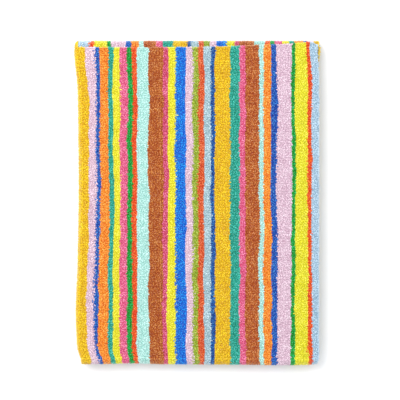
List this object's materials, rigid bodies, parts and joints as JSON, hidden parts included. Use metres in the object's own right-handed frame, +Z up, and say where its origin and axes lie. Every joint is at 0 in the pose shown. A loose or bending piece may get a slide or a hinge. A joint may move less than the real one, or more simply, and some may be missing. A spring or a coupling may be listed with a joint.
{
  "type": "folded bath towel",
  "caption": "Looped cotton bath towel with lengthwise stripes, halved across its width, then folded back and forth along its length, lying flat.",
  "frame": {"origin": "on the surface that the towel lies on, under the middle of the folded towel", "axes": "+X to the right, towards the selvedges; +Y along the stripes, towards the rear fold; +Z up"},
  "size_m": [0.3598, 0.4752, 0.0328],
  "materials": {
    "striped_terry": "matt looped cotton pile in many-coloured lengthwise stripes"
  },
  "bodies": {
    "root": {"towel": "striped_terry"}
  },
  "joints": []
}
